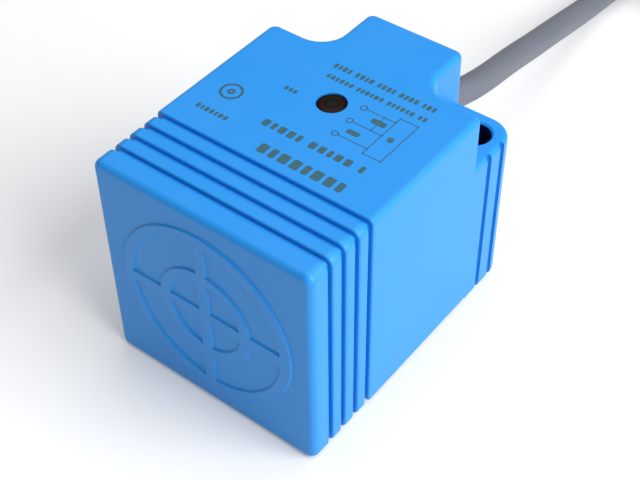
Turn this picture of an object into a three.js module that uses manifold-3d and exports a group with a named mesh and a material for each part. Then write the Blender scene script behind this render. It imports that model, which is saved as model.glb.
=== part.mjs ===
// Block-style inductive proximity sensor, 40 mm square and 53.8 mm long, with its cable.
// Units are millimetres. X is the width, -Y is the sensing side, +Y the cable side, +Z up.
// The origin is at the bottom centre of the block.
import * as THREE from 'three';
import * as BufferGeometryUtils from 'three/addons/utils/BufferGeometryUtils.js';
import Module from 'manifold-3d';

const wasm = await Module();
wasm.setup();

// ---------------------------------------------------------------- driving dimensions
const WIDTH = 40;
const HEIGHT = 40;
const FRONT_Y = -26.9;
const REAR_Y = 26.9;
const GAP = 0.3;

// moulded block
const MID_Z = HEIGHT / 2;
const HALF = WIDTH / 2;
const EDGE_ROUND = 1;
const RIB_CORNER = 1.6;
const CORE_CORNER = 1;
const GROOVE_PITCH = 3.07;
const FIRST_GROOVE_Y = -22.35;
const GROOVE_WIDTH = 0.95;
const GROOVE_DEPTH = 0.8;
const GROOVE_YS = [0, 1, 2, 3].map((i) => FIRST_GROOVE_Y + i * GROOVE_PITCH);
const RIB_ROUND = 0.4;
const BODY_FRONT_Y = GROOVE_YS[3] + GROOVE_WIDTH / 2;
const SHOULDER_Y = 15.2;
const EAR_TOP_Z = 30;
const EAR_CORNER = 4.5;
const BOSS_HALF = 9.1;
const BOSS_FILLET = 4.5;
const HOLE_X = 15;
const HOLE_Y = 21.7;
const HOLE_DIA = 5.5;
const FLUTE_YS = [18.4, 22.1];
const FLUTE_WIDTH = 1.4;
const FLUTE_DEPTH = 0.9;
const RELIEF = 1;
const RELIEF_END_Y = 15.2;

// inside of the block
const CAVITY_HALF = 17.6;
const CAVITY_LOW_Z = MID_Z - CAVITY_HALF;
const CAVITY_TOP_Z = MID_Z + CAVITY_HALF;
const CAVITY_END_Y = 12;
const FLOOR_Z = 3.4;
const SHELL_FRONT_Y = GROOVE_YS[0] - GROOVE_WIDTH / 2 + GAP;
const SEAT_END_Y = -19;
const CABLE_HOLE_R = 4.3;
const COVER_HALF_X = 14;
const COVER_Y = 1;
const COVER_HALF_Y = 10;
const COVER_STEP = 1.2;

// sensing face
const CAP_BACK_Y = GROOVE_YS[0] - GROOVE_WIDTH / 2;
const CAP_ROUND = 1.2;
const MARK_HEIGHT = 0.3;
const CAP_WALL_BACK_Y = -24.7;
const SPIGOT_HALF = CAVITY_HALF - GAP;
const SPIGOT_WALL = 1;
const MARK_RINGS = [[16.2, 14.2], [8.7, 6.7]];
const MARK_BAR = 2;

// indicator
const LED_Y = 4.3;
const WINDOW_R = 2.4;
const LED_BASE_Z = 31;

// coil and core
const CORE_R = 15.1;
const CORE_FRONT_Y = -24.4;
const CORE_BACK_Y = -15.7;
const BOARD_Z = 26.8;
const BOARD_T = 1.6;
const BOARD_TOP = BOARD_Z + BOARD_T;
const BOARD_HALF = 15.2;
const BOARD_Y0 = -12.5;
const BOARD_Y1 = 10.8;
const LEAD_X = 4;
const LEAD_Z = 29.3;

// cable
const CABLE_R = 2.5;
const BUSH_TIP_Y = 32.7;
const PITCH = 2 * CABLE_R;
const HANK_X = 16;
const HANK_Y = 135;
const HANK_STRAIGHT = 39.8;
const HANK_MEAN_R = 17.5;
const HANK_COLUMNS = 2;
const HANK_LAYERS = 5;
const HANK_LOW_Z = 1.4;
const HANK_OUT_R = HANK_MEAN_R + (HANK_COLUMNS * PITCH) / 2;
const HANK_IN_R = HANK_MEAN_R - (HANK_COLUMNS * PITCH) / 2;
const HANK_TOP_Z = HANK_LOW_Z + HANK_LAYERS * PITCH;

// ---------------------------------------------------------------- materials
function plastic(color, roughness = 0.5) {
  return new THREE.MeshStandardMaterial({ color, roughness, metalness: 0 });
}

function metal(color, roughness = 0.35) {
  return new THREE.MeshStandardMaterial({ color, roughness, metalness: 1 });
}

// ---------------------------------------------------------------- shapes and solids
const model = new THREE.Group();

function add(name, geometry, material) {
  const mesh = new THREE.Mesh(geometry, material);
  mesh.name = name;
  model.add(mesh);
  return mesh;
}

function solid(geometry) {
  const bare = geometry.clone();
  bare.deleteAttribute('normal');
  bare.deleteAttribute('uv');
  const merged = BufferGeometryUtils.mergeVertices(bare, 1e-4);
  const corners = merged.index.array;
  const triangles = [];
  for (let i = 0; i < corners.length; i += 3) {
    const [a, b, c] = corners.slice(i, i + 3);
    if (a !== b && b !== c && c !== a) {
      triangles.push(a, b, c);
    }
  }
  return new wasm.Manifold(new wasm.Mesh({
    numProp: 3,
    vertProperties: new Float32Array(merged.attributes.position.array),
    triVerts: new Uint32Array(triangles),
  }));
}

function geometryOf(manifold) {
  const mesh = manifold.getMesh();
  const geometry = new THREE.BufferGeometry();
  geometry.setAttribute('position', new THREE.BufferAttribute(new Float32Array(mesh.vertProperties), 3));
  geometry.setIndex(new THREE.BufferAttribute(new Uint32Array(mesh.triVerts), 1));
  geometry.computeVertexNormals();
  return geometry;
}

function joined(first, ...others) {
  return others.reduce((sum, other) => sum.add(solid(other)), solid(first));
}

function cut(manifold, ...others) {
  return others.reduce((rest, other) => rest.subtract(solid(other)), manifold);
}

function roundRect(width, height, radius) {
  const shape = new THREE.Shape();
  const x = width / 2;
  const y = height / 2;
  shape.moveTo(-x + radius, -y);
  shape.lineTo(x - radius, -y);
  shape.absarc(x - radius, -y + radius, radius, -Math.PI / 2, 0);
  shape.absarc(x - radius, y - radius, radius, 0, Math.PI / 2);
  shape.absarc(-x + radius, y - radius, radius, Math.PI / 2, Math.PI);
  shape.absarc(-x + radius, -y + radius, radius, Math.PI, 1.5 * Math.PI);
  return shape;
}

// the same outline with no point twice
function outlineOf(path, curveSegments) {
  const points = path.getPoints(curveSegments);
  const kept = points.filter((point, i) => point.distanceTo(points[(i + 1) % points.length]) > 1e-4);
  return kept;
}

function extrude(shape, depth, round = 0, curveSegments = 3, roundSegments = 2) {
  const outline = new THREE.Shape(outlineOf(shape, curveSegments));
  outline.holes = shape.holes.map((hole) => new THREE.Path(outlineOf(hole, curveSegments)));
  return new THREE.ExtrudeGeometry(outline, {
    depth: depth - 2 * round,
    steps: 1,
    bevelEnabled: round > 0,
    bevelThickness: round,
    bevelSize: round,
    bevelOffset: -round,
    bevelSegments: roundSegments,
  }).translate(0, 0, round);
}

// an outline drawn in X and Y, raised from z0 to z1
function upright(shape, z0, z1, round, segments, roundSegments) {
  return extrude(shape, z1 - z0, round, segments, roundSegments).translate(0, 0, z0);
}

// an outline drawn in X and Z about the middle height, run from y0 to y1
function lengthwise(shape, y0, y1, round, segments, roundSegments) {
  return extrude(shape, y1 - y0, round, segments, roundSegments)
    .rotateX(Math.PI / 2)
    .translate(0, y1, MID_Z);
}

function box(x0, x1, y0, y1, z0, z1) {
  return new THREE.BoxGeometry(x1 - x0, y1 - y0, z1 - z0)
    .translate((x0 + x1) / 2, (y0 + y1) / 2, (z0 + z1) / 2);
}

function post(radius, x, y, z0, z1, sides = 24) {
  return new THREE.CylinderGeometry(radius, radius, z1 - z0, sides)
    .rotateX(Math.PI / 2)
    .translate(x, y, (z0 + z1) / 2);
}

function rod(radius, x, z, y0, y1, sides = 32) {
  return new THREE.CylinderGeometry(radius, radius, y1 - y0, sides)
    .translate(x, (y0 + y1) / 2, z);
}

// a closed profile of [radius, y] turned about the Y axis through the middle height
function turned(profile, sides = 36) {
  const points = profile.map(([radius, y]) => new THREE.Vector2(radius, y));
  return new THREE.LatheGeometry([...points, points[0]], sides).translate(0, 0, MID_Z);
}

// a closed profile of [radius, z] turned about an upright axis
function turnedUp(profile, x, y, sides = 36) {
  const points = profile.map(([radius, z]) => new THREE.Vector2(radius, z));
  return new THREE.LatheGeometry([...points, points[0]], sides)
    .rotateX(Math.PI / 2)
    .translate(x, y, 0);
}

function tube(points, radius, steps, sides = 8) {
  const circle = new THREE.Shape();
  circle.absarc(0, 0, radius, 0, 2 * Math.PI);
  const curveSegments = sides / 2;
  const stops = points.map((p) => new THREE.Vector3(...p));
  const extrudePath = new THREE.CatmullRomCurve3(stops, false, 'centripetal');
  return new THREE.ExtrudeGeometry(circle, { steps, curveSegments, bevelEnabled: false, extrudePath });
}

// ---------------------------------------------------------------- housing
function lowerOutline() {
  const shape = new THREE.Shape();
  shape.moveTo(-HALF, BODY_FRONT_Y);
  shape.lineTo(HALF, BODY_FRONT_Y);
  shape.lineTo(HALF, REAR_Y - EAR_CORNER);
  shape.absarc(HALF - EAR_CORNER, REAR_Y - EAR_CORNER, EAR_CORNER, 0, Math.PI / 2);
  shape.lineTo(-HALF + EAR_CORNER, REAR_Y);
  shape.absarc(-HALF + EAR_CORNER, REAR_Y - EAR_CORNER, EAR_CORNER, Math.PI / 2, Math.PI);
  return shape;
}

function upperOutline() {
  const shape = new THREE.Shape();
  const filletX = BOSS_HALF + BOSS_FILLET;
  const filletY = SHOULDER_Y + BOSS_FILLET;
  const shoulderRound = 1.5;
  const bossRound = 1.4;
  shape.moveTo(-HALF, BODY_FRONT_Y);
  shape.lineTo(HALF, BODY_FRONT_Y);
  shape.absarc(HALF - shoulderRound, SHOULDER_Y - shoulderRound, shoulderRound, 0, Math.PI / 2);
  shape.absarc(filletX, filletY, BOSS_FILLET, 1.5 * Math.PI, Math.PI, true);
  shape.absarc(BOSS_HALF - bossRound, REAR_Y - bossRound, bossRound, 0, Math.PI / 2);
  shape.absarc(-BOSS_HALF + bossRound, REAR_Y - bossRound, bossRound, Math.PI / 2, Math.PI);
  shape.absarc(-filletX, filletY, BOSS_FILLET, 0, -Math.PI / 2, true);
  shape.absarc(-HALF + shoulderRound, SHOULDER_Y - shoulderRound, shoulderRound, Math.PI / 2, Math.PI);
  return shape;
}

function flutes() {
  return FLUTE_YS.flatMap((y) => [-1, 1].map((side) => {
    const shape = roundRect(2 * FLUTE_DEPTH, FLUTE_WIDTH, FLUTE_WIDTH / 2 - 0.01);
    return upright(shape, -1, EAR_TOP_Z + 1).translate(side * HALF, y, 0);
  }));
}

function ribs() {
  return [0, 1, 2].map((i) => {
    const y0 = GROOVE_YS[i] + GROOVE_WIDTH / 2;
    const y1 = GROOVE_YS[i + 1] - GROOVE_WIDTH / 2;
    return lengthwise(roundRect(WIDTH, HEIGHT, RIB_CORNER), y0, y1, RIB_ROUND);
  });
}

function coverOpening(extra) {
  const plate = 1.1;
  const opening = extra > 0;
  const outX = COVER_HALF_X + extra;
  const outY = COVER_HALF_Y + extra;
  const inX = outX - COVER_STEP;
  const inY = outY - COVER_STEP;
  const low = opening ? RELIEF - 2 : RELIEF;
  const high = opening ? FLOOR_Z + 1 : FLOOR_Z;
  return joined(
    box(-outX, outX, COVER_Y - outY, COVER_Y + outY, low, RELIEF + plate + extra),
    box(-inX, inX, COVER_Y - inY, COVER_Y + inY, RELIEF + plate / 2, high),
  );
}

function housingShell() {
  const core = roundRect(WIDTH - 2 * GROOVE_DEPTH, HEIGHT - 2 * GROOVE_DEPTH, CORE_CORNER);
  const block = joined(
    upright(lowerOutline(), 0, EAR_TOP_Z, EDGE_ROUND),
    upright(upperOutline(), EAR_TOP_Z - 4, HEIGHT, EDGE_ROUND),
    lengthwise(core, SHELL_FRONT_Y, BODY_FRONT_Y + 2),
    ...ribs(),
  );
  const hollow = cut(
    block,
    box(-CAVITY_HALF, CAVITY_HALF, SHELL_FRONT_Y - 1, SEAT_END_Y, CAVITY_LOW_Z, CAVITY_TOP_Z),
    box(-CAVITY_HALF, CAVITY_HALF, SEAT_END_Y - 1, CAVITY_END_Y, FLOOR_Z, CAVITY_TOP_Z),
    box(-HALF - 1, HALF + 1, BODY_FRONT_Y, RELIEF_END_Y, -1, RELIEF),
    rod(CABLE_HOLE_R, 0, MID_Z, CAVITY_END_Y - 1, REAR_Y + 1),
    post(WINDOW_R + GAP, 0, LED_Y, HEIGHT - 5, HEIGHT + 1),
    post(HOLE_DIA / 2, -HOLE_X, HOLE_Y, -1, EAR_TOP_Z + 1),
    post(HOLE_DIA / 2, HOLE_X, HOLE_Y, -1, EAR_TOP_Z + 1),
    ...flutes(),
  );
  return hollow.subtract(coverOpening(GAP));
}

function sensingFaceCap() {
  const face = FRONT_Y + MARK_HEIGHT;
  const outline = roundRect(WIDTH, HEIGHT, RIB_CORNER);
  const nose = cut(
    solid(lengthwise(outline, face, face + 8, CAP_ROUND, 3, 4)),
    box(-HALF - 1, HALF + 1, CAP_BACK_Y - 1, FRONT_Y + 20, -1, HEIGHT + 1),
  );
  const rim = solid(lengthwise(outline, CAP_BACK_Y - 1.8, CAP_BACK_Y, RIB_ROUND));
  const spigot = solid(lengthwise(
    roundRect(2 * SPIGOT_HALF, 2 * SPIGOT_HALF, 0.8),
    CAP_BACK_Y - 1,
    SEAT_END_Y - GAP,
  ));
  const pocketHalf = SPIGOT_HALF - SPIGOT_WALL;
  const pocket = box(
    -pocketHalf,
    pocketHalf,
    CAP_WALL_BACK_Y,
    SEAT_END_Y + 1,
    MID_Z - pocketHalf,
    MID_Z + pocketHalf,
  );
  const marks = MARK_RINGS.map(([outer, inner]) => {
    const ring = new THREE.Shape();
    ring.absarc(0, 0, outer, 0, 2 * Math.PI);
    const hole = new THREE.Path();
    hole.absarc(0, 0, inner, 0, 2 * Math.PI, true);
    ring.holes.push(hole);
    return lengthwise(ring, FRONT_Y, face + 0.5, 0, 16);
  });
  const reach = MARK_RINGS[0][0] - 0.3;
  const bars = [
    box(-MARK_BAR / 2, MARK_BAR / 2, FRONT_Y, face + 0.5, MID_Z - reach, MID_Z + reach),
    box(-reach, reach, FRONT_Y, face + 0.5, MID_Z - MARK_BAR / 2, MID_Z + MARK_BAR / 2),
  ];
  const plain = cut(nose.add(rim).add(spigot), pocket);
  return [...marks, ...bars].reduce((sum, mark) => sum.add(solid(mark)), plain);
}

function windowProfile() {
  const flangeR = 3.3;
  const flangeZ = 36.2;
  const stepZ = 37.3;
  const rimZ = HEIGHT - 0.7;
  const topZ = HEIGHT - 0.35;
  return [
    [0, flangeZ],
    [flangeR, flangeZ],
    [flangeR, stepZ],
    [WINDOW_R, stepZ],
    [WINDOW_R, rimZ],
    [WINDOW_R - 0.5, topZ - 0.05],
    [0, topZ],
  ];
}

const BLUE = 0x2f8fe6;
add('housing_shell', geometryOf(housingShell()), plastic(BLUE, 0.45));
add('sensing_face_cap', geometryOf(sensingFaceCap()), plastic(0x2b84d8, 0.5));
add('base_cover', geometryOf(coverOpening(0)), plastic(BLUE, 0.5));
add('indicator_window', turnedUp(windowProfile(), 0, LED_Y, 24), plastic(0x2a1210, 0.2));

// ---------------------------------------------------------------- coil and core
function potCore() {
  const wall = 2.2;
  const post0 = 5.5;
  const floor = 2.4;
  const bore = 2;
  const cup = solid(turned([
    [bore, CORE_FRONT_Y + 0.2], [post0, CORE_FRONT_Y + 0.2], [post0, CORE_BACK_Y - floor],
    [CORE_R - wall, CORE_BACK_Y - floor], [CORE_R - wall, CORE_FRONT_Y], [CORE_R, CORE_FRONT_Y],
    [CORE_R, CORE_BACK_Y], [bore, CORE_BACK_Y],
  ]));
  return cut(
    cup,
    rod(0.9, -LEAD_X, LEAD_Z, CORE_BACK_Y - 4, CORE_BACK_Y + 1, 12),
    rod(0.9, LEAD_X, LEAD_Z, CORE_BACK_Y - 4, CORE_BACK_Y + 1, 12),
  );
}

function bobbinProfile() {
  const y0 = CORE_FRONT_Y;
  const y1 = CORE_BACK_Y - 2.4 - GAP - 0.6;
  const flange = 0.8;
  return [[5.8, y0], [12.5, y0], [12.5, y0 + flange], [6.6, y0 + flange], [6.6, y1 - flange],
    [12.5, y1 - flange], [12.5, y1], [5.8, y1]];
}

function windingProfile() {
  const y0 = CORE_FRONT_Y + 1.1;
  const y1 = CORE_BACK_Y - 2.4 - GAP - 1.7;
  return [[6.9, y0], [11.9, y0], [12.2, y0 + 0.4], [12.2, y1 - 0.4], [11.9, y1], [6.9, y1]];
}

function coreCarrier() {
  const plate0 = CORE_BACK_Y + GAP;
  const plate1 = plate0 + 2.2;
  const half = CAVITY_HALF - GAP;
  const low = BOARD_Z - GAP - 1.6;
  const plate = lengthwise(roundRect(2 * half, 2 * (half - 1), 1), plate0, plate1);
  const rails = [-1, 1].map((side) => {
    const inner = side * (BOARD_HALF - 2);
    const outer = side * half;
    const x0 = Math.min(inner, outer);
    const x1 = Math.max(inner, outer);
    return box(x0, x1, plate1 - 0.5, BOARD_Y1 - 0.5, low, BOARD_Z - GAP);
  });
  return cut(
    joined(plate, ...rails),
    rod(5, 0, MID_Z, plate0 - 1, plate1 + 1),
    box(-LEAD_X - 1.2, LEAD_X + 1.2, plate0 - 1, plate1 + 1, LEAD_Z - 1.2, LEAD_Z + 1.2),
  );
}

function shieldRing() {
  const inner = CORE_R + GAP;
  const outer = inner + 0.6;
  return turned([[inner, CORE_FRONT_Y], [outer, CORE_FRONT_Y], [outer, CORE_BACK_Y], [inner, CORE_BACK_Y]]);
}

add('shield_ring', shieldRing(), metal(0xb98f4a, 0.4));
add('ferrite_pot_core', geometryOf(potCore()), plastic(0x2c2c2f, 0.7));
add('coil_bobbin', turned(bobbinProfile()), plastic(0xe8e4d6, 0.6));
add('coil_winding', turned(windingProfile()), metal(0xb5562a, 0.4));
[['coil_lead_start', -LEAD_X], ['coil_lead_end', LEAD_X]].forEach(([name, x]) => {
  const start = CORE_BACK_Y - 2.5;
  const points = [
    [x, start, LEAD_Z],
    [x, start + 4, LEAD_Z],
    [x, BOARD_Y0 + 0.4, LEAD_Z],
    [x, BOARD_Y0 + 2, LEAD_Z - 0.3],
  ];
  add(name, tube(points, 0.25, 10, 6), metal(0xb5562a, 0.4));
});
add('core_carrier', geometryOf(coreCarrier()), plastic(0x22242a, 0.6));

// ---------------------------------------------------------------- circuit board and its parts
const PART_Z = BOARD_TOP + 0.1;

function board() {
  const shape = roundRect(2 * BOARD_HALF, BOARD_Y1 - BOARD_Y0, 0.8);
  const plate = upright(shape, BOARD_Z, BOARD_TOP).translate(0, (BOARD_Y0 + BOARD_Y1) / 2, 0);
  const holes = [-1.27, 1.27].map((x) => post(0.45, x, LED_Y, BOARD_Z - 1, BOARD_TOP + 1, 10));
  return cut(solid(plate), ...holes);
}

// a moulded body with rows of bent legs on its two long sides
function legged(length, width, height, legs, pitch, x, y) {
  const halfX = length / 2;
  const halfY = width / 2;
  const legHalf = 0.22;
  const footT = 0.25;
  const shoulderZ = PART_Z + height * 0.55;
  const body = box(x - halfX, x + halfX, y - halfY, y + halfY, PART_Z + 0.2, PART_Z + height);
  const parts = [];
  for (let i = 0; i < legs; i += 1) {
    const cx = x + (i - (legs - 1) / 2) * pitch;
    [-1, 1].forEach((side) => {
      const foot = [0.45, 1.05].map((out) => y + side * (halfY + out)).sort((a, b) => a - b);
      const leg = [-0.2, 0.65].map((out) => y + side * (halfY + out)).sort((a, b) => a - b);
      parts.push(box(cx - legHalf, cx + legHalf, ...foot, PART_Z, PART_Z + footT));
      parts.push(box(cx - legHalf, cx + legHalf, ...leg, PART_Z, shoulderZ));
    });
  }
  return joined(body, ...parts);
}

function powerPackage(x, y) {
  const body = box(x - 3.2, x + 3.2, y - 1.75, y + 1.75, PART_Z, PART_Z + 1.6);
  const tab = box(x - 1.6, x + 1.6, y + 1.5, y + 3.3, PART_Z, PART_Z + 0.5);
  const legs = [-2.3, 0, 2.3].map((dx) => {
    const cx = x + dx;
    return box(cx - 0.4, cx + 0.4, y - 3.2, y - 1.5, PART_Z, PART_Z + 0.4);
  });
  return joined(body, tab, ...legs);
}

function chip(length, width, height, x, y) {
  const bodyX = length / 2 - 0.3;
  const halfY = width / 2;
  const proud = 0.05;
  const body = box(x - bodyX, x + bodyX, y - halfY, y + halfY, PART_Z, PART_Z + height - proud);
  const ends = [-1, 1].map((side) => {
    const [x0, x1] = [0.45, 0].map((inset) => x + side * (length / 2 - inset)).sort((a, b) => a - b);
    return box(x0, x1, y - halfY - proud, y + halfY + proud, PART_Z, PART_Z + height);
  });
  return joined(body, ...ends);
}

function canCapacitor(x, y) {
  const half = 2.6;
  const canR = 2.45;
  const crimpR = 2.25;
  const crimp = [[canR, 1.5], [crimpR, 1.7], [canR, 1.9]];
  const profile = [[0, 0.6], [canR, 0.6], ...crimp, [canR, 5.1], [2.2, 5.3], [0, 5.3]];
  const base = box(x - half, x + half, y - half, y + half, PART_Z, PART_Z + 0.9);
  const can = turnedUp(profile.map(([r, z]) => [r, PART_Z + z]), x, y, 24);
  return joined(base, can);
}

function ledBody() {
  const rimR = 1.8;
  const bodyR = 1.5;
  const dome = [[bodyR, 3], [1.3, 3.8], [0.75, 4.3], [0, 4.5]];
  const profile = [[0, 0], [rimR, 0], [rimR, 0.8], [bodyR, 0.8], ...dome];
  return turnedUp(profile.map(([r, z]) => [r, LED_BASE_Z + z]), 0, LED_Y, 20);
}

add('circuit_board', geometryOf(board()), plastic(0x1f6b3a, 0.5));
add('oscillator_ic', geometryOf(legged(5, 3.9, 1.6, 4, 1.27, -7, -5.5)), plastic(0x1b1b1d, 0.5));
add('output_transistor', geometryOf(powerPackage(9.5, 5.2)), plastic(0x1b1b1d, 0.5));
add('supply_capacitor', geometryOf(canCapacitor(-9.5, 5.5)), metal(0xc9ccd1, 0.35));
add('tuning_capacitor', geometryOf(chip(3.2, 1.6, 1.3, 0, -8.6)), plastic(0xb89a72, 0.5));
add('output_diode', geometryOf(chip(4.4, 2.6, 2.1, 10.2, -1.6)), plastic(0x1b1b1d, 0.5));
add('surge_diode', geometryOf(chip(4.4, 2.6, 2.1, 10.2, -6)), plastic(0x1b1b1d, 0.5));
add('output_filter_capacitor', geometryOf(chip(3.2, 1.6, 1.2, -3, 8.4)), plastic(0xb89a72, 0.5));
[[2.2, -5.2], [2.2, -2.6], [-6.5, -0.6], [4.4, 8.4]].forEach(([x, y], i) => {
  add(`resistor_${i + 1}`, geometryOf(chip(2.6, 1.4, 0.6, x, y)), plastic(0x17181a, 0.5));
});
add('indicator_led', ledBody(), plastic(0xb33a2c, 0.2));
[['led_leg_anode', -1.27], ['led_leg_cathode', 1.27]].forEach(([name, x]) => {
  const half = 0.22;
  const leg = box(x - half, x + half, LED_Y - half, LED_Y + half, BOARD_Z - 0.8, LED_BASE_Z - GAP);
  add(name, leg, metal(0xc9ccd1, 0.35));
});

// ---------------------------------------------------------------- resin, cable entry and inner wires
const JACKET_END_Y = 8;
const WIRES = [['brown', 0x6b3a1e, -1], ['blue', 0x2a5fc0, 0], ['black', 0x17181a, 1]];
const WIRE_R = 0.65;

function resin() {
  const half = CAVITY_HALF - GAP;
  const top = 22.4;
  const front = CORE_BACK_Y + 2.8 + GAP;
  const wiresHalf = 5.2;
  const wiresLow = 14.5;
  return cut(
    solid(box(-half, half, front, CAVITY_END_Y - GAP, FLOOR_Z + GAP, top)),
    box(-wiresHalf, wiresHalf, -1, CAVITY_END_Y + 1, wiresLow, top + 1),
  );
}

function bushProfile() {
  const bore = CABLE_R + GAP;
  const r = CABLE_HOLE_R - GAP;
  const collar = r + 1.1;
  const tip = bore + 0.25;
  return [
    [bore, CAVITY_END_Y + GAP],
    [r, CAVITY_END_Y + GAP],
    [r, REAR_Y + GAP],
    [collar, REAR_Y + GAP],
    [collar, REAR_Y + 1.2],
    [collar - 0.4, REAR_Y + 1.6],
    [tip + 0.2, BUSH_TIP_Y - 0.3],
    [tip, BUSH_TIP_Y],
    [bore, BUSH_TIP_Y],
  ];
}

function clamp() {
  const inner = CABLE_R + GAP;
  const outer = 4.4;
  const y0 = 9.2;
  const y1 = 11.6;
  return turned([[inner, y0], [outer, y0], [outer, y1], [inner, y1]], 24);
}

add('resin_fill', geometryOf(resin()), plastic(0x1d2024, 0.6));
add('cable_bush', turned(bushProfile(), 24), plastic(0x8d93a3, 0.6));
add('cable_clamp', clamp(), plastic(0xdedbd2, 0.6));
const innerEnd = rod(CABLE_R, 0, MID_Z, JACKET_END_Y, BUSH_TIP_Y - GAP, 16);
add('cable_inner_end', innerEnd, plastic(0x8d93a3, 0.6));
WIRES.forEach(([name, color, side]) => {
  const x = side * 1.5;
  const z = MID_Z + (side === 0 ? 1 : -0.6);
  const end = JACKET_END_Y - GAP;
  const points = [
    [x, end, z],
    [x * 1.3, end - 2, z + 0.2],
    [side * 3, end - 5, z + 3],
    [side * 3.4, end - 6, BOARD_Z - GAP - 0.1],
  ];
  add(`inner_wire_${name}`, tube(points, WIRE_R, 12, 8), plastic(color, 0.5));
});

// ---------------------------------------------------------------- cable outside the block
const RUN = [
  [0, BUSH_TIP_Y + GAP, 20],
  [0.2, 37, 19.75],
  [0.6, 40.5, 19.15],
  [0.9, 44, 18.4],
  [0.8, 49.5, 17.1],
  [0.3, 55.4, 15.6],
  [-0.3, 62, 13.8],
  [-0.9, 69.6, 11.6],
  [-1.5, 77, 9.6],
  [-2.1, 84.7, 7.5],
  [-2.5, 92.5, 5.6],
  [-2.8, 100.2, 4.1],
  [-2.9, 105.5, 3.3],
  [-3, 111, 2.9],
  [-3.2, 115.5, 3],
  [-3.4, 119.4, 3.2],
];

// the last turn lies on the hank, as [x, y] from the middle of the hank's near end
const TAIL_R = HANK_IN_R + CABLE_R;
const TAIL_Z = HANK_TOP_Z + GAP + CABLE_R;
const TAIL_END_Y = 10;
const TAIL = [
  [TAIL_R, 22],
  [TAIL_R, 12],
  [TAIL_R, 0],
  [13, -7.5],
  [7.5, -13],
  [0, -TAIL_R],
  [-7.5, -13],
  [-13, -7.5],
  [-TAIL_R, 0],
  [-TAIL_R, 5],
  [-TAIL_R, TAIL_END_Y],
];

const NEAR_TIE_Y = 5;
const FAR_TIE_Y = 34;
const TIE_WIDTH = 3.6;
const TIE_T = 0.95;

// each stripped wire, as [sideways from the tail, height] at its start, middle and end
const WIRE_REST_Z = HANK_TOP_Z + GAP + WIRE_R;
const STRIPPED = {
  brown: [[1.25, TAIL_Z - 0.6], [1.8, WIRE_REST_Z], [3.2, WIRE_REST_Z]],
  blue: [[0, TAIL_Z + 1.2], [0.2, WIRE_REST_Z], [0.6, WIRE_REST_Z]],
  black: [[-1.25, TAIL_Z - 0.6], [-1.4, WIRE_REST_Z], [-2.6, WIRE_REST_Z]],
};
const STRIPPED_LENGTH = 34;
const TIP_LENGTH = 6;
const TIP_R = 0.4;

function pastTail(along, sideways, z) {
  return [HANK_X - TAIL_R + sideways, HANK_Y + TAIL_END_Y + along, z];
}

// the hank's outline at a distance from the middle of its round ends
function hankOutline(radius) {
  return roundRect(2 * radius, 2 * radius + HANK_STRAIGHT, radius);
}

function hank() {
  const soft = 1.5;
  const segments = 5;
  const outer = upright(hankOutline(HANK_OUT_R), HANK_LOW_Z, HANK_TOP_Z, soft, segments);
  const inner = upright(hankOutline(HANK_IN_R), 0, HANK_TOP_Z + 1, 0, segments);
  return geometryOf(cut(solid(outer), inner)).translate(HANK_X, HANK_Y + HANK_STRAIGHT / 2, 0);
}

// a band round one side of the hank, with its lock on top; the near one goes over the tail too
function hankTie(side, y, overTail) {
  const low = HANK_LOW_Z - GAP;
  const high = (overTail ? TAIL_Z + CABLE_R : HANK_TOP_Z) + GAP;
  const inner = HANK_IN_R - GAP;
  const outer = HANK_OUT_R + GAP;
  const slopeX = overTail ? 5 : 0.4;
  const slopeZ = overTail ? 5.4 : 0.4;
  const ring = (extra) => [
    [inner - extra, low - extra],
    [outer + extra, low - extra],
    [outer + extra, high - slopeZ + extra * 0.4],
    [outer - slopeX + extra * 0.4, high + extra],
    [inner - extra, high + extra],
  ].map(([x, z]) => new THREE.Vector2(x, z));
  const band = new THREE.Shape(ring(TIE_T));
  band.holes.push(new THREE.Path(ring(0)));
  const loop = extrude(band, TIE_WIDTH);
  const top = high + TIE_T;
  const lockLength = 5.5;
  const lockHeight = 2.6;
  const overhang = 0.6;
  const lock = box(inner, inner + lockLength, top - 0.4, top + lockHeight, -overhang, TIE_WIDTH + overhang);
  const tongueX = inner + lockLength - 0.5;
  const end = box(tongueX, tongueX + 3, top + 0.4, top + 1.3, 0.3, TIE_WIDTH - 0.3);
  const tie = geometryOf(joined(loop, lock, end));
  return tie
    .translate(0, 0, -TIE_WIDTH / 2)
    .rotateX(Math.PI / 2)
    .rotateZ(side < 0 ? Math.PI : 0)
    .translate(HANK_X, HANK_Y + y, 0);
}

const tailPoints = TAIL.map(([x, y]) => [HANK_X + x, HANK_Y + y, TAIL_Z]);
add('cable_run', tube(RUN, CABLE_R, 40, 8), plastic(0x8b90a0, 0.6));
add('cable_hank', hank(), plastic(0x8b90a0, 0.6));
add('cable_tail', tube(tailPoints, CABLE_R, 24, 8), plastic(0x8b90a0, 0.6));
add('cable_tie_1', hankTie(-1, NEAR_TIE_Y, true), plastic(0x17181a, 0.5));
add('cable_tie_2', hankTie(1, FAR_TIE_Y, false), plastic(0x17181a, 0.5));
WIRES.forEach(([name, color]) => {
  const [start, middle, end] = STRIPPED[name];
  const points = [
    pastTail(GAP, ...start),
    pastTail(5, start[0] * 1.2, (2 * start[1] + middle[1]) / 3),
    pastTail(STRIPPED_LENGTH * 0.45, ...middle),
    pastTail(STRIPPED_LENGTH * 0.75, (middle[0] + end[0]) / 2, end[1] + 0.05),
    pastTail(STRIPPED_LENGTH, ...end),
  ];
  const last = new THREE.Vector3(...points[4]).sub(new THREE.Vector3(...points[3])).normalize();
  const tip = [GAP, GAP + TIP_LENGTH / 2, GAP + TIP_LENGTH].map((d) => [
    points[4][0] + last.x * d,
    points[4][1] + last.y * d,
    end[1],
  ]);
  add(`wire_${name}`, tube(points, WIRE_R, 16, 8), plastic(color, 0.5));
  add(`wire_tip_${name}`, tube(tip, TIP_R, 3, 8), metal(0xb9bcc0, 0.35));
});

export default model;
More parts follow.
